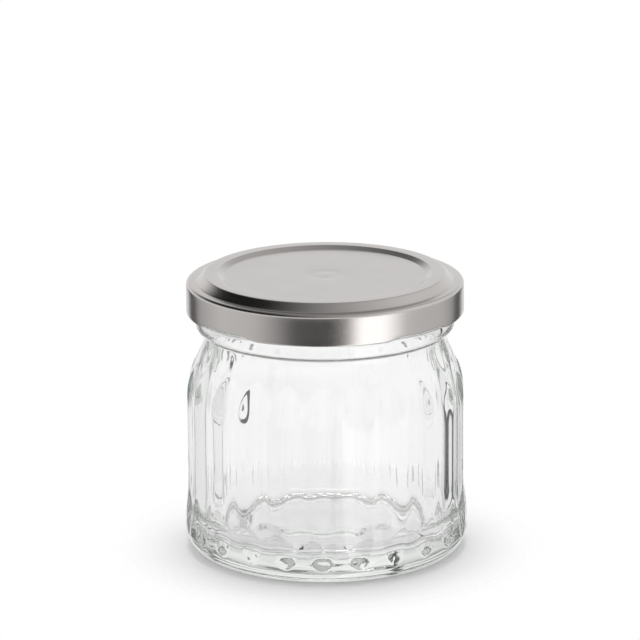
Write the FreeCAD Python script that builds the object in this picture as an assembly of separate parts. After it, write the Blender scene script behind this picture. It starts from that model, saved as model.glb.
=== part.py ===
import FreeCAD
import Part
import math
import os

# Fluted glass preserving jar with its twist-off tinplate lid, closed and empty.
# Millimetres, +Z up. The origin is the centre of the ring that the jar stands on.
# The glass is one moulded piece, the lid one formed sheet, and the sealing ring
# lies between the lid's channel and the glass rim. Nothing here moves on a hinge:
# the lid only sits on the finish, held by four lugs under the glass thread.

# --- neck finish, which the lid is made for --------------------------------
FINISH_RADIUS = 38.9  # wall that carries the thread
FINISH_WALL = 4.0
FINISH_HEIGHT = 17.1  # neck root to sealing surface
BEAD_OUT = 1.1  # bead beyond the finish wall
BEAD_DEPTH = 2.8  # bead beyond the neck root, and its rounded underside
BEAD_LAND = 2.0  # straight height of the bead above that
RIM_ROUND = 2.3  # rounded outer edge of the rim, inwards and downwards
RIM_DROP = 3.3
RIM_EASE = 1.1  # rounding of the bore's top edge

# --- glass, outside --------------------------------------------------------
RIM_HEIGHT = 86.3  # sealing surface above the foot
BODY_RADIUS = 43.05
SHOULDER_HEIGHT = 20.7  # where the side leaves the vertical, below the neck root
SHOULDER_PULL = 0.52  # share of that height over which the shoulder's curve stays near upright
ROOT_PULL = 0.34  # the same at the neck root
SWELL_TOP = 23.0  # the heel's swell has run out by this height
HEEL_SWELL = 0.95  # widest place, beyond the body
HEEL_HEIGHT = 7.4
FOOT_SET_IN = 6.0  # edge of the foot, in from the widest place
FOOT_WIDTH = 3.6  # flat ring the jar stands on
PUNT_RISE = 2.8  # how far the underside is pushed up, on a flat disc
PUNT_DISC = 15.0  # radius of that disc
PUNT_PULL = 0.4  # share of the slope over which it stays near flat
PUNT_EDGE = 1.5  # the slope steepens this far in from the foot

# --- glass, inside ---------------------------------------------------------
WALL = 4.3  # from the ridges to the smooth inside
FLOOR_HEIGHT = 5.8  # inside floor at its lowest
FLOOR_DOME = 1.8  # rise of the floor's flat centre
DOME_DISC = 9.0  # radius of that centre
INNER_HEEL_WIDTH = 10.0  # turn from floor to wall
INNER_HEEL_HEIGHT = 10.5
BORE_PULL = 0.40  # as the neck root's, on the inside

# --- flutes ----------------------------------------------------------------
FLUTES = 24
FLUTE_DEPTH = 1.32
FLUTE_ROUNDING = 19.5  # radius of the hollow, seen from above
FLUTE_FOOT = 8.0  # lower ends, along the side from the edge of the foot
FLUTE_TOP = 8.0  # upper ends, along the side from the neck root
FLUTE_FADE = 5  # the higher, the more suddenly a flute runs out
FLUTE_PHASE = 5.8  # a ridge stands this many degrees from the front, to the right
CUTTER_SWEEP = 60.0  # part of a turn that the flute cutter needs
CUTTER_STATIONS = 9
CUTTER_OVERRUN = 1.12  # cutter length over flute length
SIDE_SAMPLES = 400  # points along the side, from which the stations are picked

# --- lid -------------------------------------------------------------------
SHEET = 0.25
LID_HEIGHT = 12.2  # lower edge of the curl to the top of the raised ring
PANEL_DROP = 0.9  # centre panel below the raised ring
RING_INSIDE = 1.9  # the ring's flat top begins this far inside the bore
RING_SLOPE = 2.0  # width of the slope from there down to the panel
RING_OUTSIDE = 0.45  # the flat top ends this far outside the sealing surface
LEDGE_DROP = 2.35  # ledge below the raised ring
LEDGE_CLEARANCE = 0.7  # ledge beyond the finish wall
SKIRT_CORNER = 1.1  # bend from ledge to skirt
SOFT_BEND = 0.8  # bends of the panel and ring
CURL = 1.6  # diameter of the rolled lower edge
CURL_CLEARANCE = 1.15  # between curl and bead
CURL_GAP = 0.45  # between the rolled end and the skirt
LUGS = 4
LUG_ANGLE = 28.0
LUG_PHASE = 43.4  # first lug's centre, in degrees from the front, to the right
LUG_RAISE = 0.95  # a lug's underside above the curl's
LUG_HEIGHT = 1.1
LUG_CLEARANCE = 1.4  # between lug and finish wall, where the thread runs

# --- sealing ring ----------------------------------------------------------
SEAL_THICKNESS = 0.85
SEAL_LAP = 0.9  # reaches this far inside the sealing surface

Z_AXIS = FreeCAD.Vector(0, 0, 1)
ORIGIN = FreeCAD.Vector(0, 0, 0)
FRONT = -90.0  # degrees: the front faces -Y
FULL_TURN = 360.0
QUARTER_ROUND = 0.5523  # handle length that makes a Bezier curve a quarter round
LEG_SHARE = 0.49  # a rounded corner takes up at most this much of its shorter leg

# --- what follows from them ------------------------------------------------
BEAD_RADIUS = FINISH_RADIUS + BEAD_OUT
NECK_ROOT_RADIUS = BEAD_RADIUS - BEAD_DEPTH
NECK_ROOT_HEIGHT = RIM_HEIGHT - FINISH_HEIGHT
BORE_RADIUS = FINISH_RADIUS - FINISH_WALL
RIM_OUTER = FINISH_RADIUS - RIM_ROUND
RIM_INNER = BORE_RADIUS + RIM_EASE
SHOULDER_START = NECK_ROOT_HEIGHT - SHOULDER_HEIGHT
HEEL_RADIUS = BODY_RADIUS + HEEL_SWELL
FOOT_RADIUS = HEEL_RADIUS - FOOT_SET_IN
INSIDE_RADIUS = BODY_RADIUS - WALL
RING_INNER = BORE_RADIUS - RING_INSIDE
RING_OUTER = RIM_OUTER + RING_OUTSIDE
PANEL_RADIUS = RING_INNER - RING_SLOPE
LEDGE_INNER = FINISH_RADIUS + LEDGE_CLEARANCE
CURL_INNER = BEAD_RADIUS + CURL_CLEARANCE
LUG_INNER = FINISH_RADIUS + LUG_CLEARANCE
LID_RADIUS = CURL_INNER + CURL
LID_INSIDE = RIM_HEIGHT + SEAL_THICKNESS  # underside of the raised ring
LID_TOP = LID_INSIDE + SHEET
LID_BOTTOM = LID_TOP - LID_HEIGHT
SKIRT_SPLIT = LID_BOTTOM + CURL + LUG_RAISE  # curl and lugs are formed below here
BEND_SLACK = SHEET / 4  # leaves a short straight between the curl's bends


def at(radius, height):
    """A point of a profile."""
    return FreeCAD.Vector(radius, 0, height)


def line(start, end):
    return Part.LineSegment(start, end).toShape()


def bend(*poles):
    """A Bezier edge, used where a profile changes direction softly."""
    curve = Part.BezierCurve()
    curve.setPoles(list(poles))
    return curve.toShape()


def quarter(start, end, corner):
    """A quarter round (or quarter oval) from start to end, bulging to the corner."""
    first = start + (corner - start) * QUARTER_ROUND
    second = end + (corner - end) * QUARTER_ROUND
    return bend(start, first, second, end)


def revolved(edges, turn=FULL_TURN):
    """The solid that a closed profile sweeps about the jar's axis."""
    wire = Part.Wire(Part.__sortEdges__(edges))
    return Part.Face(wire).revolve(ORIGIN, Z_AXIS, turn)


def turned(shape, angle):
    """A copy, turned about the jar's axis by the angle in degrees."""
    copy = shape.copy()
    copy.rotate(ORIGIN, Z_AXIS, angle)
    return copy


def side_edges():
    """The jar's outside from the edge of the foot up to the neck root."""
    foot = at(FOOT_RADIUS, 0)
    heel = at(HEEL_RADIUS, HEEL_HEIGHT)
    swell = at(BODY_RADIUS, SWELL_TOP)
    shoulder = at(BODY_RADIUS, SHOULDER_START)
    root = at(NECK_ROOT_RADIUS, NECK_ROOT_HEIGHT)
    rise = (SWELL_TOP - HEEL_HEIGHT) / 2
    return [
        quarter(foot, heel, at(HEEL_RADIUS, 0)),
        bend(heel, at(HEEL_RADIUS, HEEL_HEIGHT + rise), at(BODY_RADIUS, SWELL_TOP - rise), swell),
        line(swell, shoulder),
        bend(
            shoulder,
            at(BODY_RADIUS, SHOULDER_START + SHOULDER_PULL * SHOULDER_HEIGHT),
            at(NECK_ROOT_RADIUS, NECK_ROOT_HEIGHT - ROOT_PULL * SHOULDER_HEIGHT),
            root,
        ),
    ]


def flute_cutter():
    """A spindle beside the jar whose near side follows the side, one flute deep."""
    side = Part.Wire(side_edges())
    start = FLUTE_FOOT
    end = side.Length - FLUTE_TOP
    middle = (start + end) / 2
    half = (end - start) / 2
    points = side.discretize(Number=SIDE_SAMPLES)
    step = side.Length / (len(points) - 1)
    axis = BODY_RADIUS - FLUTE_DEPTH + FLUTE_ROUNDING
    bottom = []
    for station in range(CUTTER_STATIONS):
        along = (2 * station / (CUTTER_STATIONS - 1) - 1) * CUTTER_OVERRUN
        place = round((middle + along * half) / step)
        here = points[place]
        tangent = (points[place + 1] - points[place - 1]).normalize()
        inward = at(-tangent.z, tangent.x)
        depth = FLUTE_DEPTH * (1 - abs(along) ** FLUTE_FADE)
        bottom.append(here + inward * depth)
    curve = Part.BSplineCurve()
    curve.interpolate(bottom)
    low = at(axis, bottom[0].z)
    high = at(axis, bottom[-1].z)
    edges = [curve.toShape(), line(bottom[-1], high), line(high, low), line(low, bottom[0])]
    section = Part.Face(Part.Wire(edges))
    section.rotate(low, Z_AXIS, -CUTTER_SWEEP / 2)
    return section.revolve(low, Z_AXIS, CUTTER_SWEEP)


def glass_outside():
    """The whole outside of the glass as one solid, before flutes and cavity."""
    root = at(NECK_ROOT_RADIUS, NECK_ROOT_HEIGHT)
    bead_low = at(BEAD_RADIUS, NECK_ROOT_HEIGHT + BEAD_DEPTH)
    bead_high = at(BEAD_RADIUS, bead_low.z + BEAD_LAND)
    finish_low = at(FINISH_RADIUS, bead_high.z + BEAD_OUT)
    finish_high = at(FINISH_RADIUS, RIM_HEIGHT - RIM_DROP)
    rim = at(RIM_OUTER, RIM_HEIGHT)
    punt_edge = at(FOOT_RADIUS - FOOT_WIDTH, 0)
    punt = at(PUNT_DISC, PUNT_RISE)
    flat_end = at(PUNT_DISC + PUNT_PULL * (punt_edge.x - PUNT_DISC), PUNT_RISE)
    steep_start = at(punt_edge.x - PUNT_EDGE, PUNT_RISE)
    edges = side_edges() + [
        quarter(root, bead_low, at(BEAD_RADIUS, NECK_ROOT_HEIGHT)),
        line(bead_low, bead_high),
        quarter(bead_high, finish_low, at(BEAD_RADIUS, finish_low.z)),
        line(finish_low, finish_high),
        quarter(finish_high, rim, at(FINISH_RADIUS, RIM_HEIGHT)),
        line(rim, at(0, RIM_HEIGHT)),
        line(at(0, RIM_HEIGHT), at(0, PUNT_RISE)),
        line(at(0, PUNT_RISE), punt),
        bend(punt, flat_end, steep_start, punt_edge),
        line(punt_edge, at(FOOT_RADIUS, 0)),
    ]
    return revolved(edges)


def glass_inside():
    """The cavity: domed floor, inner heel, smooth wall, shoulder and bore."""
    dome = at(DOME_DISC, FLOOR_HEIGHT + FLOOR_DOME)
    floor = at(INSIDE_RADIUS - INNER_HEEL_WIDTH, FLOOR_HEIGHT)
    slope = (floor.x - DOME_DISC) / 2
    heel = at(INSIDE_RADIUS, FLOOR_HEIGHT + INNER_HEEL_HEIGHT)
    shoulder = at(INSIDE_RADIUS, SHOULDER_START)
    bore_low = at(BORE_RADIUS, NECK_ROOT_HEIGHT)
    bore_high = at(BORE_RADIUS, RIM_HEIGHT - RIM_EASE)
    lip = at(RIM_INNER, RIM_HEIGHT)
    edges = [
        bend(dome, at(DOME_DISC + slope, dome.z), at(floor.x - slope, FLOOR_HEIGHT), floor),
        quarter(floor, heel, at(INSIDE_RADIUS, FLOOR_HEIGHT)),
        line(heel, shoulder),
        bend(
            shoulder,
            at(INSIDE_RADIUS, SHOULDER_START + SHOULDER_PULL * SHOULDER_HEIGHT),
            at(BORE_RADIUS, NECK_ROOT_HEIGHT - BORE_PULL * SHOULDER_HEIGHT),
            bore_low,
        ),
        line(bore_low, bore_high),
        quarter(bore_high, lip, at(BORE_RADIUS, RIM_HEIGHT)),
        line(lip, at(0, RIM_HEIGHT)),
        line(at(0, RIM_HEIGHT), at(0, dome.z)),
        line(at(0, dome.z), dome),
    ]
    return revolved(edges)


def glass_jar():
    """The moulded jar. Neighbouring flutes overlap, so they are cut in two passes."""
    jar = glass_outside()
    cutter = flute_cutter()
    pitch = FULL_TURN / FLUTES
    first = FRONT + FLUTE_PHASE + pitch / 2
    for parity in (0, 1):
        cutters = [turned(cutter, first + pitch * index) for index in range(parity, FLUTES, 2)]
        jar = jar.cut(Part.makeCompound(cutters))
    return jar.cut(glass_inside())


def rounded_path(points, radii):
    """Edges along the points, each inner corner rounded, a radius limited by its legs."""
    edges = []
    start = points[0]
    for before, corner, after, radius in zip(points, points[1:], points[2:], radii):
        back = (before - corner).normalize()
        ahead = (after - corner).normalize()
        half = back.getAngle(ahead) / 2
        legs = min((before - corner).Length, (after - corner).Length)
        trim = min(radius / math.tan(half), LEG_SHARE * legs)
        radius = trim * math.tan(half)
        first = corner + back * trim
        last = corner + ahead * trim
        middle = (back + ahead).normalize()
        top = corner + middle * (radius / math.sin(half) - radius)
        edges.append(line(start, first))
        edges.append(Part.Arc(first, top, last).toShape())
        start = last
    edges.append(line(start, points[-1]))
    return edges


def sheet_section(points, radii):
    """A closed profile one sheet thick, to the right of the path."""
    legs = [(end - start).normalize() for start, end in zip(points, points[1:])]
    inner = []
    inner_radii = []
    for index, point in enumerate(points):
        before = legs[max(index - 1, 0)]
        after = legs[min(index, len(legs) - 1)]
        middle = (before + after).normalize()
        reach = SHEET / middle.dot(before)
        inner.append(point + at(middle.z, -middle.x) * reach)
        if 0 < index < len(points) - 1:
            right_turn = before.z * after.x - before.x * after.z > 0
            change = -SHEET if right_turn else SHEET
            inner_radii.append(radii[index - 1] + change)
    outer_edges = rounded_path(points, radii)
    inner_edges = rounded_path(inner, inner_radii)
    ends = [line(points[0], inner[0]), line(points[-1], inner[-1])]
    return outer_edges + inner_edges + ends


def lid_edge(underside, inner_radius, height, turn):
    """A stretch of the skirt's rolled lower edge, from the split line down."""
    top = underside + height
    bend_radius = min(height, LID_RADIUS - inner_radius) / 2 - BEND_SLACK
    points = [
        at(LID_RADIUS, SKIRT_SPLIT),
        at(LID_RADIUS, underside),
        at(inner_radius, underside),
        at(inner_radius, top),
        at(LID_RADIUS - SHEET - CURL_GAP, top),
    ]
    return revolved(sheet_section(points, [bend_radius] * 3), turn)


def lid():
    """The tinplate lid: panel, raised ring, ledge and skirt, with curl and lugs."""
    panel = LID_TOP - PANEL_DROP
    ledge = LID_TOP - LEDGE_DROP
    points = [
        at(0, panel),
        at(PANEL_RADIUS, panel),
        at(RING_INNER, LID_TOP),
        at(RING_OUTER, LID_TOP),
        at(LEDGE_INNER, ledge),
        at(LID_RADIUS, ledge),
        at(LID_RADIUS, SKIRT_SPLIT),
    ]
    radii = [SOFT_BEND, SOFT_BEND, SOFT_BEND, SOFT_BEND, SKIRT_CORNER]
    cover = revolved(sheet_section(points, radii))
    pitch = FULL_TURN / LUGS
    curl = lid_edge(LID_BOTTOM, CURL_INNER, CURL, pitch - LUG_ANGLE)
    lug = lid_edge(LID_BOTTOM + LUG_RAISE, LUG_INNER, LUG_HEIGHT, LUG_ANGLE)
    stretches = []
    for index in range(LUGS):
        start = FRONT + LUG_PHASE + pitch * index - LUG_ANGLE / 2
        stretches.append(turned(lug, start))
        stretches.append(turned(curl, start + LUG_ANGLE))
    return cover.multiFuse(stretches)


def lid_liner():
    """The sealing ring, flat on the glass rim and flat under the raised ring."""
    inner = RIM_INNER - SEAL_LAP
    outer = RIM_OUTER
    corners = [at(inner, RIM_HEIGHT), at(outer, RIM_HEIGHT), at(outer, LID_INSIDE), at(inner, LID_INSIDE)]
    return revolved([line(start, end) for start, end in zip(corners, corners[1:] + corners[:1])])


os.makedirs("parts", exist_ok=True)
for name, build in (("glass_jar", glass_jar), ("lid", lid), ("lid_liner", lid_liner)):
    shape = build()
    shape.exportStep(f"parts/{name}.step")
    print(name, shape.ShapeType, len(shape.Solids), shape.isValid(), round(shape.Volume), "mm3")
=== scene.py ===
"""Fluted glass preserving jar with its twist-off lid, dressed over its construction frame."""

import math

import bmesh
import bpy
from bpy.props import FloatProperty, FloatVectorProperty, IntProperty, PointerProperty
from mathutils import Matrix, Vector, noise
from mathutils.geometry import interpolate_bezier


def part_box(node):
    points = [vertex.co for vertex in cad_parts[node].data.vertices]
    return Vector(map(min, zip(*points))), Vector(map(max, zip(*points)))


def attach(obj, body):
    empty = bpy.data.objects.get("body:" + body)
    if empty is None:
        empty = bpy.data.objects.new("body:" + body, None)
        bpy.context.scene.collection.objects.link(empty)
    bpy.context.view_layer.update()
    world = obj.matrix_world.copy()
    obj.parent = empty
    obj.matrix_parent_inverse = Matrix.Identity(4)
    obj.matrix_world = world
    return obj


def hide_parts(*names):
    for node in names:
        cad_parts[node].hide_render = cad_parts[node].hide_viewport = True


bl_info = {
    "name": "Fluted Preserving Jar",
    "version": (1, 0, 0),
    "blender": (4, 5, 0),
    "location": "View3D > Sidebar > Jar",
    "description": "Builds a fluted glass jar with a formed metal lid on its construction frame",
    "category": "Add Mesh",
}

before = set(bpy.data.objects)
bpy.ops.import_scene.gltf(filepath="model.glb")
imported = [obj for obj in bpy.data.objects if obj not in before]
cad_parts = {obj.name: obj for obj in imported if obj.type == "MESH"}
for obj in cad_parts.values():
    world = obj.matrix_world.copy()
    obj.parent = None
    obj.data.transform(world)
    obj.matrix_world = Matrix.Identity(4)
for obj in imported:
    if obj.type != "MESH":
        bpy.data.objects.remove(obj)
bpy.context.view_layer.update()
GLASS_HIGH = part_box("glass_jar")[1]
LID_LOW, LID_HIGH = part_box("lid")
SEAL_LOW, SEAL_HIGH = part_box("lid_liner")

MM = 0.001
FRONT = -math.pi / 2  # the front faces -Y
FULL_TURN = 2 * math.pi
QUARTER_ROUND = 0.5523  # handle length that makes a curve a quarter round
MERGE = 1e-6
OFF_FLUTES = 9.0  # marks glass that has no flutes

SHOULDER_PULL = 0.52  # handle of the shoulder's curve at the side, as a share of the shoulder's height
ROOT_PULL = 0.34  # the same at the neck root
BORE_PULL = 0.40  # the same on the inside, at the bore
PUNT_PULL = 0.4  # handle of the punt's curve at its flat middle, as a share of the slope's width
PUNT_EDGE = 1.5 * MM  # handle of the same curve at the foot's ring
THREAD_ENDS = 9  # one over the share of a thread's length that each end takes to rise
THREAD_CREST = 1.5  # power that rounds the thread in section
ON_FINISH = 0.05 * MM  # glass this near to the finish wall can carry thread
WANDER_SIDEWAYS = 34  # patches of unevenness in a metre, across and front to back
WANDER_UP = 14  # the same upwards
LEG_SHARE = 0.49  # most of a straight run that one bend may use up
BEND_STEPS = 6
LONGEST_STEP = 2.0 * MM  # longest face along the lid's section
LUG_MARGIN = 1.0 * MM  # metal this far inside the curl still follows a lug
PIP_SPREAD = 0.5  # half the width of the pip's groove, as a share of the pip's radius
SEAL_SEGMENTS = 192

GRAIN = (2400, 2400, 1200)
CLOUD = (60, 60, 60)
MOTTLE = (400, 400, 400)

LAMP_PLACE = Vector((0, 0.12, 0.95))
LAMP_TARGET = Vector((0, 0, 0.05))
SENSOR_WIDTH = 36.0
FAR_CLIP = 50.0

# Bearings are in degrees, nought at the front and rising to the right, each with its brightness.
METAL_PEAK = 3.0  # the brightest that metal's surroundings can be
METAL_SIDES = (
    (-180, 0.96), (-156, 0.95), (-150, 0.08), (-138, 0.08), (-128, 0.55), (-95, 0.85), (-60, 0.75),
    (-42, 0.45), (-26, 0.10), (6, 0.08), (18, 0.4), (29, 2.15), (50, 2.0), (70, 0.8), (110, 0.72),
    (130, 0.5), (138, 0.08), (150, 0.08), (156, 0.95), (180, 0.96),
)
METAL_WALL = 0.96  # brightness above the horizon
CEILING_LEAN = 0.27  # how much brighter metal's ceiling gets to the right, as a share of the peak
CEILING_MIDDLE = 0.125  # its brightness overhead, as a share of the peak
# What glass shows repeats every half turn, so one list serves both sides.
GLASS_SIDES = (
    (0, 0.97), (12, 0.95), (20, 0.92), (21, 0.02), (23.5, 0.02), (24.5, 0.86), (32, 0.84), (60, 0.75),
    (105, 0.75), (132, 0.80), (133.5, 0.02), (136, 0.02), (137, 0.86), (157, 0.92), (168, 0.95), (180, 0.97),
)
# Heights run from nought straight down, through a half at the horizon, to one straight up.
WALL_HEIGHTS = ((0.0, 0.0), (0.44, 0.0), (0.52, 1.0), (1.0, 1.0))
CEILING_HEIGHTS = ((0.0, 0.0), (0.66, 0.0), (0.75, 1.0), (1.0, 1.0))
GLASS_HEIGHTS = ((0.0, 1.0), (0.64, 1.0), (0.72, 0.55), (0.86, 0.55), (0.92, 1.0), (1.0, 1.0))


# --- sizes and colours -------------------------------------------------------------------


def length(name, description, default):
    """A size in metres that shows in the sidebar."""
    return FloatProperty(name=name, description=description, default=default, unit="LENGTH", precision=5)


def turn(name, description, degrees):
    return FloatProperty(name=name, description=description, default=math.radians(degrees), subtype="ANGLE")


def colour(name, description, default):
    return FloatVectorProperty(
        name=name, description=description, default=default, size=len(default), subtype="COLOR", min=0, max=1
    )


def factor(name, description, default):
    return FloatProperty(name=name, description=description, default=default)


class JarGlassSettings(bpy.types.PropertyGroup):
    """The moulded glass: outside, inside and neck finish."""

    body: length("Body Radius", "Radius over the ridges of the straight side", 43.05 * MM)
    swell: length("Heel Radius", "Radius of the widest place, above the foot", GLASS_HIGH.x)
    heel_height: length("Heel Height", "Height of the widest place", 7.4 * MM)
    swell_top: length("Swell Top", "Height at which the heel's swell has run out", 23.0 * MM)
    foot: length("Foot Radius", "Outer edge of the ring that the jar stands on", 38.0 * MM)
    foot_width: length("Foot Width", "Width of that ring", 3.6 * MM)
    punt_rise: length("Punt Rise", "How far the underside is pushed up", 2.8 * MM)
    punt_disc: length("Punt Disc", "Radius of the flat middle of the underside", 15.0 * MM)
    shoulder: length("Shoulder Height", "Where the side leaves the vertical, below the neck root", 20.7 * MM)
    rim: length("Rim Height", "Height of the sealing surface", GLASS_HIGH.z)
    finish_height: length("Finish Height", "From the neck root to the sealing surface", 17.1 * MM)
    finish: length("Finish Radius", "Wall that carries the thread", 38.9 * MM)
    bead: length("Bead", "How far the bead stands out from the finish wall", 1.1 * MM)
    bead_depth: length("Bead Depth", "Bead beyond the neck root, and its rounded underside", 2.8 * MM)
    bead_land: length("Bead Land", "Straight height of the bead above that", 2.0 * MM)
    rim_round: length("Rim Round", "Width of the rim's rounded outer edge", 2.3 * MM)
    rim_drop: length("Rim Drop", "Height of the rim's rounded outer edge", 3.3 * MM)
    rim_ease: length("Rim Ease", "Rounding of the bore's top edge", 1.1 * MM)
    finish_wall: length("Finish Wall", "Thickness of the glass at the finish", 4.0 * MM)
    wall: length("Wall", "Thickness of the glass from the ridges to the inside", 4.3 * MM)
    floor: length("Floor Height", "Inside floor at its lowest", 5.8 * MM)
    dome: length("Floor Dome", "Rise of the floor's middle", 1.8 * MM)
    dome_disc: length("Dome Disc", "Radius of the floor's flat middle", 9.0 * MM)
    inner_heel_width: length("Inner Heel Width", "Width of the turn from floor to wall", 10.0 * MM)
    inner_heel_height: length("Inner Heel Height", "Height of the turn from floor to wall", 10.5 * MM)
    ripple: length("Ripple", "Faint print of the flutes on the inside", 0.10 * MM)
    wander: length("Wander", "Unevenness of the blown inside", 0.16 * MM)
    segments: IntProperty(name="Segments", description="Faces round the jar", default=432, min=48)
    tint: colour("Tint", "Colour that thick glass takes", (0.86, 0.90, 0.86, 1.0))
    density: factor("Tint Density", "Strength of the tint for each metre of glass", 9.0)
    refraction: factor("Index of Refraction", "Bending of light in soda-lime glass", 1.517)


class JarFluteSettings(bpy.types.PropertyGroup):
    """The hollow flutes round the body."""

    count: IntProperty(name="Flutes", description="Flutes round the body", default=24, min=3)
    depth: length("Depth", "Depth of a flute below the side", 1.26 * MM)
    hollow: length("Hollow Radius", "Radius of the hollow, seen from above", 19.5 * MM)
    lower_end: length("Lower End", "Start of the flutes, along the side from the foot's edge", 8.0 * MM)
    upper_end: length("Upper End", "End of the flutes, along the side from the neck root", 8.0 * MM)
    upper_fade: factor("Upper Fade", "The higher, the more suddenly the upper end runs out", 5.0)
    lower_fade: factor("Lower Fade", "The higher, the more suddenly the lower end runs out", 2.6)
    ridge: factor("Ridge Softness", "Rounding of the ridges", 0.35)
    brim: length("Brim Softness", "Rounding where a flute meets the plain glass", 0.04 * MM)
    middle: factor("Middle Depth", "Share of the depth that is left halfway up", 0.3)
    scoop: factor("Scoop", "Where a flute starts to deepen, as a share of the way to its end", 0.45)
    scooped: factor("Scooped", "Where it has its full depth, as a share of the way to its end", 0.75)
    phase: turn("Phase", "Place of a ridge, from the front to the right", 5.8)


class JarThreadSettings(bpy.types.PropertyGroup):
    """The raised thread on the finish, under the lid."""

    starts: IntProperty(name="Starts", description="Separate ridges of thread", default=4, min=1)
    height: length("Height", "Thread crest beyond the finish wall", 1.5 * MM)
    width: length("Width", "Half the width of a ridge at its foot", 1.15 * MM)
    sweep: turn("Sweep", "How far round a ridge runs", 78.0)
    climb: length("Climb", "Rise of a ridge from end to end", 2.6 * MM)
    start_height: length("Start Height", "Height of a ridge's low end", 78.2 * MM)
    phase: turn("Phase", "Low end of the first ridge, from the front to the right", 34.0)


class JarLidSettings(bpy.types.PropertyGroup):
    """The formed metal lid."""

    radius: length("Radius", "Outside of the skirt", LID_HIGH.x)
    top: length("Top", "Height of the raised ring", LID_HIGH.z)
    bottom: length("Bottom", "Height of the curl's lower edge", LID_LOW.z)
    sheet: length("Sheet", "Thickness of the metal", 0.25 * MM)
    panel_drop: length("Panel Drop", "Middle panel below the raised ring", 0.9 * MM)
    panel: length("Panel Radius", "Edge of the middle panel", 31.0 * MM)
    ring_inner: length("Ring Inside", "Start of the raised ring's flat top", 33.0 * MM)
    ring_outer: length("Ring Outside", "End of the raised ring's flat top", 37.05 * MM)
    ledge: length("Ledge Radius", "Foot of the ring's outer slope", 39.6 * MM)
    ledge_drop: length("Ledge Drop", "Ledge below the raised ring", 2.35 * MM)
    corner: length("Skirt Corner", "Bend from ledge to skirt", 1.1 * MM)
    bend: length("Soft Bend", "Bends of the panel and ring", 0.8 * MM)
    curl: length("Curl", "Diameter of the rolled lower edge", 1.6 * MM)
    curl_gap: length("Curl Gap", "Between the rolled end and the skirt", 0.45 * MM)
    lugs: IntProperty(name="Lugs", description="Lugs round the lower edge", default=4, min=1)
    lug_angle: turn("Lug Angle", "How far round a lug runs", 28.0)
    lug_ramp: turn("Lug Ramp", "How far round each end of a lug takes to form", 8.0)
    lug_phase: turn("Lug Phase", "Middle of the first lug, from the front to the right", 43.4)
    lug_raise: length("Lug Raise", "A lug's underside above the curl's", 0.95 * MM)
    lug_reach: length("Lug Reach", "How much further in than the curl a lug goes", 0.85 * MM)
    pip: length("Pip Radius", "Faint round mark in the middle of the panel", 4.0 * MM)
    pip_depth: length("Pip Depth", "Depth of that mark", 0.12 * MM)
    segments: IntProperty(name="Segments", description="Faces round the lid", default=360, min=48)
    metal: colour("Metal", "Colour of the bare tinplate", (0.56, 0.535, 0.52, 1.0))
    roughness: factor("Roughness", "Softness of the satin finish", 0.21)


class JarSealSettings(bpy.types.PropertyGroup):
    """The sealing compound flowed into the lid's channel."""

    outer: length("Outer Radius", "Outer edge of the ring", SEAL_HIGH.x)
    inner: length("Inner Radius", "Inner edge of the ring", 35.1 * MM)
    soften: length("Softening", "Rounding of the flowed edges", 0.25 * MM)
    paste: colour("Compound", "Colour of the compound", (0.80, 0.79, 0.76, 1.0))


class JarStageSettings(bpy.types.PropertyGroup):
    """Floor, lamp, surroundings and camera."""

    elevation: turn("Elevation", "Height angle of the camera", 15.4)
    distance: length("Distance", "From the camera to the jar", 1.3)
    lens: FloatProperty(name="Lens", description="Focal length in millimetres", default=237.1)
    aim_height: length("Aim Height", "Height that the camera looks at", 72.0 * MM)
    aim_side: length("Aim Side", "Sideways shift of what the camera looks at", -1.6 * MM)
    roll: turn("Roll", "Lean of the camera", -0.4)
    floor_size: length("Floor Size", "Side of the floor", 8.0)
    floor: colour("Floor", "Colour of the floor", (0.92, 0.92, 0.92, 1.0))
    lift: factor("Floor Lift", "What brings the unshaded floor up to white", 0.16)
    clearing: factor("Floor Clearing", "How much of its shade the floor loses seen through glass", 0.75)
    near: length("Near Floor", "Within this distance the floor shows its shading", 0.042)
    far: length("Far Floor", "Beyond this distance the floor has faded into the background", 0.075)
    fill: factor("Fill", "Brightness of the surroundings on matt surfaces", 0.70)
    top_power: FloatProperty(name="Top Lamp", description="Power of the overhead lamp", default=2.8)
    top_size: length("Top Lamp Size", "Side of the overhead lamp", 0.42)
    bounces: IntProperty(name="Bounces", description="Enough for glass behind glass", default=32)


# --- drawing and turning profiles --------------------------------------------------------


class Outline:
    """A profile drawn point by point in the half plane to the right of the axis."""

    def __init__(self, radius, height):
        self.points = [Vector((radius, 0, height))]

    def line(self, radius, height, steps=1):
        start = self.points[-1]
        end = Vector((radius, 0, height))
        self.points += [start.lerp(end, step / steps) for step in range(1, steps + 1)]
        return self

    def curve(self, first, second, end, steps):
        """A curve with two handles, each a pair of radius and height, to the end."""
        knots = [Vector((radius, 0, height)) for radius, height in (first, second, end)]
        self.points += interpolate_bezier(self.points[-1], *knots, steps + 1)[1:]
        return self

    def quarter(self, corner, end, steps):
        """A quarter round or quarter oval that bulges to the corner."""
        start = self.points[-1]
        corner = Vector((corner[0], 0, corner[1]))
        finish = Vector((end[0], 0, end[1]))
        first = start.lerp(corner, QUARTER_ROUND)
        second = finish.lerp(corner, QUARTER_ROUND)
        return self.curve((first.x, first.z), (second.x, second.z), end, steps)


def inward_at(points, index):
    """The direction square to the profile, to the left of the way it is drawn."""
    before = points[max(index - 1, 0)]
    after = points[min(index + 1, len(points) - 1)]
    along = (after - before).normalized()
    return Vector((-along.z, 0, along.x))


def drawn_profile(bm, points):
    """The points joined up in order, as vertices and edges ready to turn."""
    verts = [bm.verts.new(point) for point in points]
    edges = [bm.edges.new(pair) for pair in zip(verts, verts[1:])]
    return verts, edges


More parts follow.
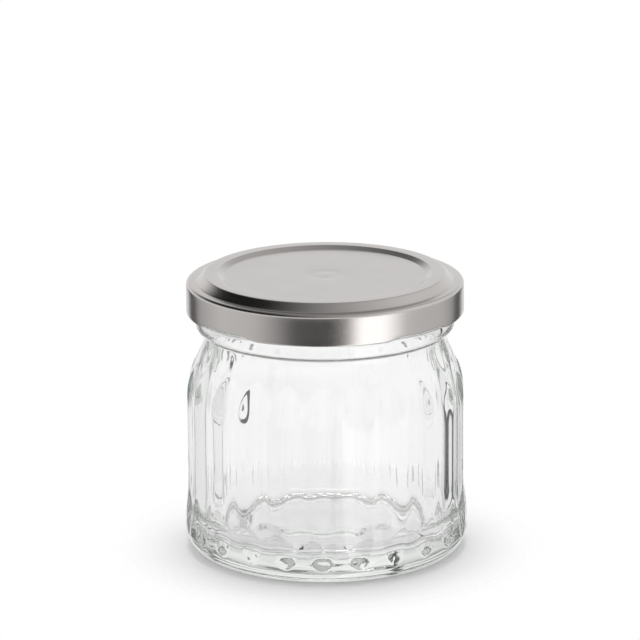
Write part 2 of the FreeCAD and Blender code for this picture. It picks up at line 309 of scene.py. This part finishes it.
def spin_closed(bm, verts, edges, segments):
    """A full turn of the profile, merged at its seam and poles, with faces pointing out."""
    bmesh.ops.spin(
        bm,
        geom=verts + edges,
        cent=(0, 0, 0),
        axis=(0, 0, 1),
        dvec=(0, 0, 0),
        angle=FULL_TURN,
        steps=segments,
        use_merge=True,
        use_duplicate=False,
    )
    bmesh.ops.remove_doubles(bm, verts=bm.verts, dist=MERGE)
    bmesh.ops.recalc_face_normals(bm, faces=bm.faces)


def angle_of(vert):
    return math.atan2(vert.co.y, vert.co.x)


def smooth_step(value):
    value = min(max(value, 0.0), 1.0)
    return value * value * (3 - 2 * value)


def soft_above(value, softness):
    """The value where it is positive, nought where it isn't, with a rounded join."""
    return (value + math.sqrt(value * value + softness * softness)) / 2


def add_piece(name, bm, material, node):
    """Makes the object, and ties it to the frame in place of its construction node."""
    mesh = bpy.data.meshes.new(name)
    bm.to_mesh(mesh)
    bm.free()
    mesh.polygons.foreach_set("use_smooth", [True] * len(mesh.polygons))
    mesh.materials.append(material)
    piece = bpy.data.objects.new(name, mesh)
    bpy.context.scene.collection.objects.link(piece)
    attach(piece, "root")
    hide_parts(node)
    return piece


# --- glass -------------------------------------------------------------------------------


def glass_outline(glass):
    """The glass in section, from the middle of the underside round to the middle of the floor.

    Returns the points and the index of the first and last point of the fluted side.
    """
    root_height = glass.rim - glass.finish_height
    bead_radius = glass.finish + glass.bead
    root_radius = bead_radius - glass.bead_depth
    shoulder_start = root_height - glass.shoulder
    rise = (glass.swell_top - glass.heel_height) / 2
    ring = glass.foot - glass.foot_width
    slope = ring - glass.punt_disc
    section = Outline(0, glass.punt_rise)
    section.line(glass.punt_disc, glass.punt_rise, 3)
    section.curve(
        (glass.punt_disc + PUNT_PULL * slope, glass.punt_rise),
        (ring - PUNT_EDGE, glass.punt_rise),
        (ring, 0),
        12,
    )
    section.line(glass.foot, 0, 3)
    side_start = len(section.points) - 1
    section.quarter((glass.swell, 0), (glass.swell, glass.heel_height), 18)
    section.curve(
        (glass.swell, glass.heel_height + rise),
        (glass.body, glass.swell_top - rise),
        (glass.body, glass.swell_top),
        24,
    )
    section.line(glass.body, shoulder_start, 12)
    section.curve(
        (glass.body, shoulder_start + SHOULDER_PULL * glass.shoulder),
        (root_radius, root_height - ROOT_PULL * glass.shoulder),
        (root_radius, root_height),
        36,
    )
    side_end = len(section.points) - 1
    bead_low = root_height + glass.bead_depth
    bead_high = bead_low + glass.bead_land
    section.quarter((bead_radius, root_height), (bead_radius, bead_low), 9)
    section.line(bead_radius, bead_high, 2)
    section.quarter((bead_radius, bead_high + glass.bead), (glass.finish, bead_high + glass.bead), 4)
    section.line(glass.finish, glass.rim - glass.rim_drop, 20)
    rim_outer = glass.finish - glass.rim_round
    bore = glass.finish - glass.finish_wall
    section.quarter((glass.finish, glass.rim), (rim_outer, glass.rim), 7)
    section.line(bore + glass.rim_ease, glass.rim)
    section.quarter((bore, glass.rim), (bore, glass.rim - glass.rim_ease), 5)
    section.line(bore, root_height, 5)
    inside = glass.body - glass.wall
    section.curve(
        (bore, root_height - BORE_PULL * glass.shoulder),
        (inside, shoulder_start + SHOULDER_PULL * glass.shoulder),
        (inside, shoulder_start),
        14,
    )
    heel_top = glass.floor + glass.inner_heel_height
    section.line(inside, heel_top, 11)
    floor_edge = inside - glass.inner_heel_width
    section.quarter((inside, glass.floor), (floor_edge, glass.floor), 13)
    half = (floor_edge - glass.dome_disc) / 2
    dome_top = glass.floor + glass.dome
    section.curve(
        (floor_edge - half, glass.floor), (glass.dome_disc + half, dome_top), (glass.dome_disc, dome_top), 9
    )
    section.line(0, dome_top, 2)
    return section.points, side_start, side_end


def flute_places(points, first, last, flutes):
    """Where each point of the side lies on a flute, from -1 at its lower end to 1 at its upper end."""
    travelled = [0.0]
    for index in range(first, last):
        travelled.append(travelled[-1] + (points[index + 1] - points[index]).length)
    low = flutes.lower_end
    high = travelled[-1] - flutes.upper_end
    half = (high - low) / 2
    return [(place - low) / half - 1 for place in travelled]


def rounded_ridge(bowl, softness):
    """The bowl from 0 to 1 with its foot, where two flutes meet, made round."""
    return (math.hypot(bowl, softness) - softness) / (math.hypot(1, softness) - softness)


def flute_cut(angle, radius, along, flutes):
    """How far a hollow reaches into the glass at this angle and this place along the flute."""
    pitch = FULL_TURN / flutes.count
    place = (angle - FRONT - flutes.phase) / pitch % 1.0
    across = abs(2 * place - 1)  # 0 in the middle of a flute, 1 on a ridge
    half_width = radius * pitch / 2
    full = half_width * half_width / 2 * (1 / radius + 1 / flutes.hollow)
    bowl = rounded_ridge(1 - across * across, flutes.ridge)
    fade = flutes.upper_fade if along > 0 else flutes.lower_fade
    depth = flutes.depth * (1 - abs(along) ** fade)
    deepened = smooth_step((abs(along) - flutes.scoop) / (flutes.scooped - flutes.scoop))
    strength = flutes.middle + (1 - flutes.middle) * deepened
    return strength * soft_above(depth - full * (1 - bowl), flutes.brim)


def thread_height(angle, height, thread):
    """How far the thread stands out of the finish wall here."""
    pitch = FULL_TURN / thread.starts
    round_to = (angle - FRONT - thread.phase) % pitch
    along = round_to / thread.sweep
    if along > 1:
        return 0.0
    middle = thread.start_height + thread.climb * along
    across = abs(height - middle) / thread.width
    if across > 1:
        return 0.0
    ends = smooth_step(along * THREAD_ENDS) * smooth_step((1 - along) * THREAD_ENDS)
    return thread.height * ends * (1 - across * across) ** THREAD_CREST


def build_glass(glass, flutes, thread):
    """The turned glass with its flutes and thread raised in the skin."""
    points, side_start, side_end = glass_outline(glass)
    places = flute_places(points, side_start, side_end, flutes)
    bm = bmesh.new()
    flute_layer = bm.verts.layers.float.new("along_flute")
    lean_layer = bm.verts.layers.float_vector.new("inward")
    inside_layer = bm.verts.layers.float.new("inside")
    verts, edges = drawn_profile(bm, points)
    inside = glass.body - glass.wall
    neck_root = glass.rim - glass.finish_height
    for index, vert in enumerate(verts):
        vert[flute_layer] = OFF_FLUTES
        vert[lean_layer] = inward_at(points, index)
        if side_start < index <= side_end:
            vert[flute_layer] = places[index - side_start]
        if index > side_end and vert.co.x > glass.dome_disc and vert.co.z < neck_root:
            vert[inside_layer] = smooth_step((vert.co.x - glass.dome_disc) / (inside - glass.dome_disc))
    spin_closed(bm, verts, edges, glass.segments)
    thread_low = thread.start_height - thread.width
    for vert in bm.verts:
        angle = angle_of(vert)
        radius = Vector((vert.co.x, vert.co.y)).length
        out = Vector((math.cos(angle), math.sin(angle), 0))
        lean = vert[lean_layer]
        if vert[flute_layer] < OFF_FLUTES:
            cut = flute_cut(angle, radius, vert[flute_layer], flutes)
            vert.co += (out * lean.x + Vector((0, 0, lean.z))) * cut
        elif vert[inside_layer] > 0:
            wave = math.cos((angle - FRONT - flutes.phase) * flutes.count) * glass.ripple
            spot = Vector((vert.co.x * WANDER_SIDEWAYS, vert.co.y * WANDER_SIDEWAYS, vert.co.z * WANDER_UP))
            wave += noise.noise(spot) * glass.wander
            vert.co -= out * wave * vert[inside_layer]
        elif vert.co.z > thread_low and abs(radius - glass.finish) < ON_FINISH:
            vert.co += out * thread_height(angle, vert.co.z, thread)
    return bm


# --- lid ---------------------------------------------------------------------------------


def rounded_path(corners, radii, steps):
    """The corners joined by straight runs, each inner corner rounded by an arc."""
    path = [corners[0]]
    for before, corner, after, radius in zip(corners, corners[1:], corners[2:], radii):
        back = (before - corner).normalized()
        ahead = (after - corner).normalized()
        half = back.angle(ahead) / 2
        legs = min((before - corner).length, (after - corner).length)
        trim = min(radius / math.tan(half), LEG_SHARE * legs)
        radius = trim * math.tan(half)
        centre = corner + (back + ahead).normalized() * radius / math.sin(half)
        start = corner + back * trim - centre
        end = corner + ahead * trim - centre
        path += [centre + start.slerp(end, step / steps) * radius for step in range(steps + 1)]
    path.append(corners[-1])
    return path


def at(radius, height):
    return Vector((radius, 0, height))


def lid_skin(lid, inset):
    """The lid's section, drawn inset from its outer skin, from the middle to the curl's end."""
    panel = lid.top - lid.panel_drop
    ledge = lid.top - lid.ledge_drop
    curl_inner = lid.radius - lid.curl
    corners = [
        at(0, panel),
        at(lid.panel, panel),
        at(lid.ring_inner, lid.top),
        at(lid.ring_outer, lid.top),
        at(lid.ledge, ledge),
        at(lid.radius, ledge),
        at(lid.radius, lid.bottom),
        at(curl_inner, lid.bottom),
        at(curl_inner, lid.bottom + lid.curl),
        at(lid.radius - lid.sheet - lid.curl_gap, lid.bottom + lid.curl),
    ]
    bend = lid.bend
    curl = lid.curl / 2 - lid.sheet / 4
    radii = [bend, bend, bend, bend, lid.corner, curl, curl, curl]
    if not inset:
        return rounded_path(corners, radii, BEND_STEPS)
    legs = [(end - start).normalized() for start, end in zip(corners, corners[1:])]
    inner = []
    inner_radii = []
    for index, corner in enumerate(corners):
        before = legs[max(index - 1, 0)]
        after = legs[min(index, len(legs) - 1)]
        middle = (before + after).normalized()
        reach = inset / middle.dot(before)
        inner.append(corner + at(middle.z, -middle.x) * reach)
        if 0 < index < len(corners) - 1:
            right_turn = before.z * after.x - before.x * after.z > 0
            inner_radii.append(radii[index - 1] + (-inset if right_turn else inset))
    return rounded_path(inner, inner_radii, BEND_STEPS)


def subdivided(path, longest):
    """The path with its longer runs split, so that no step is longer than the given one."""
    points = [path[0]]
    for start, end in zip(path, path[1:]):
        steps = max(1, math.ceil((end - start).length / longest))
        points += [start.lerp(end, step / steps) for step in range(1, steps + 1)]
    return points


def lug_weight(angle, lid):
    """1 on a lug, 0 between lugs, with soft ends."""
    pitch = FULL_TURN / lid.lugs
    off_centre = abs((angle - FRONT - lid.lug_phase + pitch / 2) % pitch - pitch / 2)
    return smooth_step((lid.lug_angle / 2 - off_centre) / lid.lug_ramp + 0.5)


def build_lid(lid):
    """One formed sheet: the outer skin out to the curl, and the inner skin back."""
    outer = subdivided(lid_skin(lid, 0), LONGEST_STEP)
    inner = subdivided(lid_skin(lid, lid.sheet), LONGEST_STEP)
    bm = bmesh.new()
    verts, edges = drawn_profile(bm, outer + inner[::-1])
    spin_closed(bm, verts, edges, lid.segments)
    split = lid.bottom + lid.curl + lid.lug_raise
    for vert in bm.verts:
        radius = Vector((vert.co.x, vert.co.y)).length
        if vert.co.z < split and radius > lid.radius - lid.curl - LUG_MARGIN:
            weight = lug_weight(angle_of(vert), lid)
            inwards = min((lid.radius - radius) / lid.curl, 1.0)
            below = min((split - vert.co.z) / (split - lid.bottom), 1.0)
            vert.co.z += weight * lid.lug_raise * smooth_step(below)
            new_radius = radius - weight * lid.lug_reach * inwards
            vert.co.x *= new_radius / radius
            vert.co.y *= new_radius / radius
        elif radius < lid.pip * (1 + PIP_SPREAD) and vert.co.z > lid.top - lid.panel_drop - 2 * lid.sheet:
            edge = (radius - lid.pip) / (PIP_SPREAD * lid.pip)
            vert.co.z -= lid.pip_depth * smooth_step(1 - abs(edge))
    return bm


# --- sealing compound --------------------------------------------------------------------


def build_seal(seal):
    """A flat ring with softly flowed edges, between the rim and the raised ring."""
    bm = bmesh.new()
    corners = [
        at(seal.inner, SEAL_LOW.z),
        at(seal.outer, SEAL_LOW.z),
        at(seal.outer, SEAL_HIGH.z),
        at(seal.inner, SEAL_HIGH.z),
    ]
    middle = at((seal.inner + seal.outer) / 2, SEAL_LOW.z)
    ring = rounded_path([middle] + corners[1:] + [corners[0], middle], [seal.soften] * 4, 4)
    verts, edges = drawn_profile(bm, ring[:-1])
    edges.append(bm.edges.new((verts[-1], verts[0])))
    spin_closed(bm, verts, edges, SEAL_SEGMENTS)
    return bm


# --- materials ---------------------------------------------------------------------------


def new_material(name):
    """An empty node material, with its tree and output."""
    material = bpy.data.materials.new(name)
    material.use_nodes = True
    tree = material.node_tree
    tree.nodes.clear()
    output = tree.nodes.new("ShaderNodeOutputMaterial")
    return material, tree, output


def add_node(tree, kind, **settings):
    node = tree.nodes.new(kind)
    for key, value in settings.items():
        setattr(node, key, value)
    return node


def object_texture(tree, kind, scale, **values):
    """A texture on object coordinates, stretched by the scale along each axis."""
    place = add_node(tree, "ShaderNodeTexCoord")
    mapping = add_node(tree, "ShaderNodeMapping")
    mapping.inputs["Scale"].default_value = scale
    texture = add_node(tree, kind)
    for key, value in values.items():
        texture.inputs[key].default_value = value
    tree.links.new(place.outputs["Object"], mapping.inputs["Vector"])
    tree.links.new(mapping.outputs["Vector"], texture.inputs["Vector"])
    return texture


def shade(colour_value, share):
    """The colour made darker or lighter by the share."""
    return [min(channel * share, 1) for channel in colour_value[:3]] + [1]


def vary_tone(tree, texture, shader, dark, light):
    """The shader's colour goes from dark to light with the texture."""
    tone = add_node(tree, "ShaderNodeMix", data_type="RGBA")
    tone.inputs["A"].default_value = dark
    tone.inputs["B"].default_value = light
    tree.links.new(texture.outputs["Fac"], tone.inputs["Factor"])
    tree.links.new(tone.outputs["Result"], shader.inputs["Base Color"])


def add_bump(tree, texture, shader, strength, depth):
    """The texture raised on the shader's surface."""
    bump = add_node(tree, "ShaderNodeBump")
    bump.inputs["Strength"].default_value = strength
    bump.inputs["Distance"].default_value = depth
    tree.links.new(texture.outputs["Fac"], bump.inputs["Height"])
    tree.links.new(bump.outputs["Normal"], shader.inputs["Normal"])


def clear_glass(glass):
    """Clear soda-lime glass, faintly green where it is thick."""
    material, tree, output = new_material("clear_fluted_glass")
    shader = add_node(tree, "ShaderNodeBsdfPrincipled")
    shader.inputs["Base Color"].default_value = (1, 1, 1, 1)
    shader.inputs["Roughness"].default_value = 0.0
    shader.inputs["IOR"].default_value = glass.refraction
    shader.inputs["Transmission Weight"].default_value = 1.0
    soak = add_node(tree, "ShaderNodeVolumeAbsorption")
    soak.inputs["Color"].default_value = glass.tint
    soak.inputs["Density"].default_value = glass.density
    tree.links.new(shader.outputs["BSDF"], output.inputs["Surface"])
    tree.links.new(soak.outputs["Volume"], output.inputs["Volume"])
    return material


def satin_tinplate(lid):
    """Bare tinned sheet with a fine, even grain."""
    material, tree, output = new_material("satin_tinplate")
    shader = add_node(tree, "ShaderNodeBsdfPrincipled")
    shader.inputs["Metallic"].default_value = 1.0
    grain = object_texture(tree, "ShaderNodeTexNoise", GRAIN, Scale=1.0, Detail=2.0)
    cloud = object_texture(tree, "ShaderNodeTexNoise", CLOUD, Scale=1.0, Detail=2.0)
    vary_tone(tree, cloud, shader, shade(lid.metal, 0.94), shade(lid.metal, 1.05))
    satin = add_node(tree, "ShaderNodeMapRange")
    satin.inputs["To Min"].default_value = lid.roughness - 0.05
    satin.inputs["To Max"].default_value = lid.roughness + 0.07
    tree.links.new(grain.outputs["Fac"], satin.inputs["Value"])
    tree.links.new(satin.outputs["Result"], shader.inputs["Roughness"])
    add_bump(tree, grain, shader, 0.10, 0.05 * MM)
    tree.links.new(shader.outputs["BSDF"], output.inputs["Surface"])
    return material


def sealing_compound(seal):
    """Soft off-white compound, slightly uneven as it is flowed in."""
    material, tree, output = new_material("sealing_compound")
    shader = add_node(tree, "ShaderNodeBsdfPrincipled")
    shader.inputs["Roughness"].default_value = 0.55
    mottle = object_texture(tree, "ShaderNodeTexNoise", MOTTLE, Scale=1.0, Detail=3.0)
    vary_tone(tree, mottle, shader, shade(seal.paste, 0.92), seal.paste)
    add_bump(tree, mottle, shader, 0.2, 0.2 * MM)
    tree.links.new(shader.outputs["BSDF"], output.inputs["Surface"])
    return material


# --- stage -------------------------------------------------------------------------------


def pale_floor(stage):
    """Pale floor that reads as white where nothing shades it, and is gone far from the jar."""
    material, tree, output = new_material("pale_floor")
    path = add_node(tree, "ShaderNodeLightPath")
    matt = add_node(tree, "ShaderNodeBsdfDiffuse")
    matt.inputs["Color"].default_value = stage.floor
    lifted = add_node(tree, "ShaderNodeMath", operation="MULTIPLY")
    lifted.inputs[1].default_value = stage.lift
    glow = add_node(tree, "ShaderNodeEmission")
    near = add_node(tree, "ShaderNodeAddShader")
    tree.links.new(path.outputs["Is Camera Ray"], lifted.inputs[0])
    tree.links.new(lifted.outputs["Value"], glow.inputs["Strength"])
    tree.links.new(matt.outputs["BSDF"], near.inputs[0])
    tree.links.new(glow.outputs["Emission"], near.inputs[1])
    place = add_node(tree, "ShaderNodeTexCoord")
    distance = add_node(tree, "ShaderNodeVectorMath", operation="LENGTH")
    fade = add_node(tree, "ShaderNodeMapRange", interpolation_type="SMOOTHSTEP")
    fade.inputs["From Min"].default_value = stage.near
    fade.inputs["From Max"].default_value = stage.far
    mirrored = add_node(tree, "ShaderNodeMath", operation="SUBTRACT", use_clamp=True)
    cleared = add_node(tree, "ShaderNodeMath", operation="MULTIPLY_ADD")
    cleared.inputs[1].default_value = stage.clearing
    gone = add_node(tree, "ShaderNodeMath", operation="MAXIMUM")
    clear = add_node(tree, "ShaderNodeBsdfTransparent")
    choice = add_node(tree, "ShaderNodeMixShader")
    tree.links.new(place.outputs["Object"], distance.inputs["Vector"])
    tree.links.new(distance.outputs["Value"], fade.inputs["Value"])
    tree.links.new(path.outputs["Is Glossy Ray"], mirrored.inputs[0])
    tree.links.new(path.outputs["Is Transmission Ray"], mirrored.inputs[1])
    tree.links.new(path.outputs["Is Transmission Ray"], cleared.inputs[0])
    tree.links.new(mirrored.outputs["Value"], cleared.inputs[2])
    tree.links.new(fade.outputs["Result"], gone.inputs[0])
    tree.links.new(cleared.outputs["Value"], gone.inputs[1])
    tree.links.new(gone.outputs["Value"], choice.inputs["Fac"])
    tree.links.new(near.outputs["Shader"], choice.inputs[1])
    tree.links.new(clear.outputs["BSDF"], choice.inputs[2])
    tree.links.new(choice.outputs["Shader"], output.inputs["Surface"])
    return material


def colour_ramp(tree, stops):
    """A ramp of greys, each stop a place from 0 to 1 and a brightness."""
    ramp = add_node(tree, "ShaderNodeValToRGB")
    elements = ramp.color_ramp.elements
    elements[0].position, elements[1].position = stops[0][0], stops[-1][0]
    for place, _ in stops[1:-1]:
        elements.new(place)
    for element, (_, brightness) in zip(elements, stops):
        element.color = (brightness, brightness, brightness, 1)
    return ramp


def add_math(tree, operation, source, value, **settings):
    """A sum on one output and a fixed value."""
    node = add_node(tree, "ShaderNodeMath", operation=operation, **settings)
    tree.links.new(source, node.inputs[0])
    node.inputs[1].default_value = value
    return node.outputs["Value"]


def to_share(tree, source, low, high):
    """The output brought from between low and high to between 0 and 1."""
    node = add_node(tree, "ShaderNodeMapRange")
    node.inputs["From Min"].default_value = low
    node.inputs["From Max"].default_value = high
    tree.links.new(source, node.inputs["Value"])
    return node.outputs["Result"]


def brightness_along(tree, source, stops):
    """The grey that the stops give for the output."""
    ramp = colour_ramp(tree, stops)
    tree.links.new(source, ramp.inputs["Fac"])
    return ramp.outputs["Color"]


def blended(tree, share, first, second, **settings):
    """The first colour or output turned into the second by the share, each a socket or a value."""
    node = add_node(tree, "ShaderNodeMix", data_type="RGBA", **settings)
    for key, value in (("Factor", share), ("A", first), ("B", second)):
        if isinstance(value, bpy.types.NodeSocket):
            tree.links.new(value, node.inputs[key])
        else:
            node.inputs[key].default_value = value
    return node.outputs["Result"]


def add_backdrop(tree, colour_source, strength):
    """Light of a colour, which is an output or a value."""
    node = add_node(tree, "ShaderNodeBackground")
    if isinstance(colour_source, bpy.types.NodeSocket):
        tree.links.new(colour_source, node.inputs["Color"])
    else:
        node.inputs["Color"].default_value = colour_source
    node.inputs["Strength"].default_value = strength
    return node


def metal_surroundings(tree, direction, around, height):
    """Soft panels and dark gaps below the horizon, an even wall above it, and a leaning ceiling."""
    bearing = to_share(tree, around, -math.pi, math.pi)
    stops = [(degrees / 360 + 0.5, brightness / METAL_PEAK) for degrees, brightness in METAL_SIDES]
    sides = brightness_along(tree, bearing, stops)
    wall = METAL_WALL / METAL_PEAK
    walled = blended(tree, brightness_along(tree, height, WALL_HEIGHTS), sides, (wall, wall, wall, 1))
    lean = add_node(tree, "ShaderNodeVectorMath", operation="DOT_PRODUCT")
    lean.inputs[1].default_value = (CEILING_LEAN, 0, 0)
    tree.links.new(direction, lean.inputs[0])
    ceiling = add_math(tree, "ADD", lean.outputs["Value"], CEILING_MIDDLE, use_clamp=True)
    return blended(tree, brightness_along(tree, height, CEILING_HEIGHTS), walled, ceiling)


def glass_surroundings(tree, around, height):
    """A pale room with two narrow dark gaps on each side, dimmed between the wall and overhead."""
    half_turns = add_math(tree, "DIVIDE", around, math.pi)
    repeated = add_math(tree, "FLOORED_MODULO", half_turns, 1)
    stops = [(degrees / 180, brightness) for degrees, brightness in GLASS_SIDES]
    sides = brightness_along(tree, repeated, stops)
    return blended(tree, 1.0, sides, brightness_along(tree, height, GLASS_HEIGHTS), blend_type="MULTIPLY")


def studio_world(stage):
    """White to the eye, even on matt surfaces, and with its own surroundings for metal and for glass."""
    world = bpy.data.worlds.new("studio")
    world.use_nodes = True
    tree = world.node_tree
    tree.nodes.clear()
    output = add_node(tree, "ShaderNodeOutputWorld")
    place = add_node(tree, "ShaderNodeTexCoord")
    direction = place.outputs["Generated"]
    split = add_node(tree, "ShaderNodeSeparateXYZ")
    tree.links.new(direction, split.inputs["Vector"])
    turned = add_node(tree, "ShaderNodeMath", operation="ARCTAN2")
    tree.links.new(split.outputs["X"], turned.inputs[0])
    tree.links.new(add_math(tree, "MULTIPLY", split.outputs["Y"], -1), turned.inputs[1])
    around = turned.outputs["Value"]
    height = to_share(tree, split.outputs["Z"], -1, 1)
    white = (1, 1, 1, 1)
    metal_view = add_backdrop(tree, metal_surroundings(tree, direction, around, height), METAL_PEAK)
    glass_view = add_backdrop(tree, glass_surroundings(tree, around, height), 1)
    path = add_node(tree, "ShaderNodeLightPath")
    shown = add_backdrop(tree, white, stage.fill)
    for ray, view in (
        ("Is Glossy Ray", metal_view),
        ("Is Transmission Ray", glass_view),
        ("Is Camera Ray", add_backdrop(tree, white, 1)),
    ):
        choice = add_node(tree, "ShaderNodeMixShader")
        tree.links.new(path.outputs[ray], choice.inputs["Fac"])
        tree.links.new(shown.outputs[0], choice.inputs[1])
        tree.links.new(view.outputs[0], choice.inputs[2])
        shown = choice
    tree.links.new(shown.outputs[0], output.inputs["Surface"])
    bpy.context.scene.world = world


def add_floor(stage):
    bm = bmesh.new()
    bmesh.ops.create_grid(bm, x_segments=1, y_segments=1, size=stage.floor_size / 2)
    mesh = bpy.data.meshes.new("floor")
    bm.to_mesh(mesh)
    bm.free()
    mesh.materials.append(pale_floor(stage))
    floor = bpy.data.objects.new("floor", mesh)
    bpy.context.scene.collection.objects.link(floor)


def add_lamp(name, size, power, place, target):
    """A square soft lamp that faces the target, and that nothing mirrors."""
    data = bpy.data.lights.new(name, "AREA")
    data.shape = "SQUARE"
    data.size = size
    data.energy = power
    lamp = bpy.data.objects.new(name, data)
    lamp.location = place
    lamp.rotation_euler = (target - place).to_track_quat("-Z", "Y").to_euler()
    lamp.visible_glossy = False
    bpy.context.scene.collection.objects.link(lamp)


def add_camera(stage):
    data = bpy.data.cameras.new("camera")
    data.lens = stage.lens
    data.sensor_width = SENSOR_WIDTH
    data.clip_end = FAR_CLIP
    camera = bpy.data.objects.new("camera", data)
    aim = Vector((stage.aim_side, 0, stage.aim_height))
    away = Vector((0, -math.cos(stage.elevation), math.sin(stage.elevation)))
    camera.location = aim + away * stage.distance
    facing = (-away).to_track_quat("-Z", "Y").to_matrix().to_4x4()
    camera.rotation_euler = (facing @ Matrix.Rotation(stage.roll, 4, "Z")).to_euler()
    bpy.context.scene.collection.objects.link(camera)
    bpy.context.scene.camera = camera


# --- operators ---------------------------------------------------------------------------


class JAR_OT_glass(bpy.types.Operator):
    """Add the fluted glass with its neck finish"""

    bl_idname = "jar.glass"
    bl_label = "Add Glass"
    bl_options = {"REGISTER", "UNDO"}

    def execute(self, context):
        scene = context.scene
        bm = build_glass(scene.jar_glass, scene.jar_flutes, scene.jar_thread)
        add_piece("fluted_glass", bm, clear_glass(scene.jar_glass), "glass_jar")
        return {"FINISHED"}


class JAR_OT_lid(bpy.types.Operator):
    """Add the formed metal lid with its curl and lugs"""

    bl_idname = "jar.lid"
    bl_label = "Add Lid"
    bl_options = {"REGISTER", "UNDO"}

    def execute(self, context):
        lid = context.scene.jar_lid
        add_piece("formed_lid", build_lid(lid), satin_tinplate(lid), "lid")
        return {"FINISHED"}


class JAR_OT_seal(bpy.types.Operator):
    """Add the ring of sealing compound under the lid"""

    bl_idname = "jar.seal"
    bl_label = "Add Sealing Ring"
    bl_options = {"REGISTER", "UNDO"}

    def execute(self, context):
        seal = context.scene.jar_seal
        add_piece("sealing_ring", build_seal(seal), sealing_compound(seal), "lid_liner")
        return {"FINISHED"}


class JAR_OT_stage(bpy.types.Operator):
    """Add the floor, the lamp, the surroundings and the camera"""

    bl_idname = "jar.stage"
    bl_label = "Add Stage"
    bl_options = {"REGISTER", "UNDO"}

    def execute(self, context):
        stage = context.scene.jar_stage
        studio_world(stage)
        add_floor(stage)
        add_lamp("top_lamp", stage.top_size, stage.top_power, LAMP_PLACE, LAMP_TARGET)
        add_camera(stage)
        context.scene.view_settings.view_transform = "Standard"
        cycles = context.scene.cycles
        cycles.max_bounces = cycles.transmission_bounces = cycles.glossy_bounces = stage.bounces
        return {"FINISHED"}


class JAR_PT_panel(bpy.types.Panel):
    """Steps that build the jar, in order"""

    bl_idname = "JAR_PT_panel"
    bl_label = "Preserving Jar"
    bl_space_type = "VIEW_3D"
    bl_region_type = "UI"
    bl_category = "Jar"

    def draw(self, context):
        column = self.layout.column()
        column.operator(JAR_OT_glass.bl_idname)
        column.operator(JAR_OT_lid.bl_idname)
        column.operator(JAR_OT_seal.bl_idname)
        column.operator(JAR_OT_stage.bl_idname)


SETTINGS = {
    "jar_glass": JarGlassSettings,
    "jar_flutes": JarFluteSettings,
    "jar_thread": JarThreadSettings,
    "jar_lid": JarLidSettings,
    "jar_seal": JarSealSettings,
    "jar_stage": JarStageSettings,
}
TOOLS = (JAR_OT_glass, JAR_OT_lid, JAR_OT_seal, JAR_OT_stage, JAR_PT_panel)


def register():
    for cls in (*SETTINGS.values(), *TOOLS):
        bpy.utils.register_class(cls)
    for name, cls in SETTINGS.items():
        setattr(bpy.types.Scene, name, PointerProperty(type=cls))


def unregister():
    for name in SETTINGS:
        delattr(bpy.types.Scene, name)
    for cls in (*reversed(TOOLS), *reversed(SETTINGS.values())):
        bpy.utils.unregister_class(cls)


def main():
    """Builds every piece."""
    register()
    bpy.ops.jar.glass()
    bpy.ops.jar.lid()
    bpy.ops.jar.seal()
    bpy.ops.jar.stage()


if __name__ == "__main__":
    main()
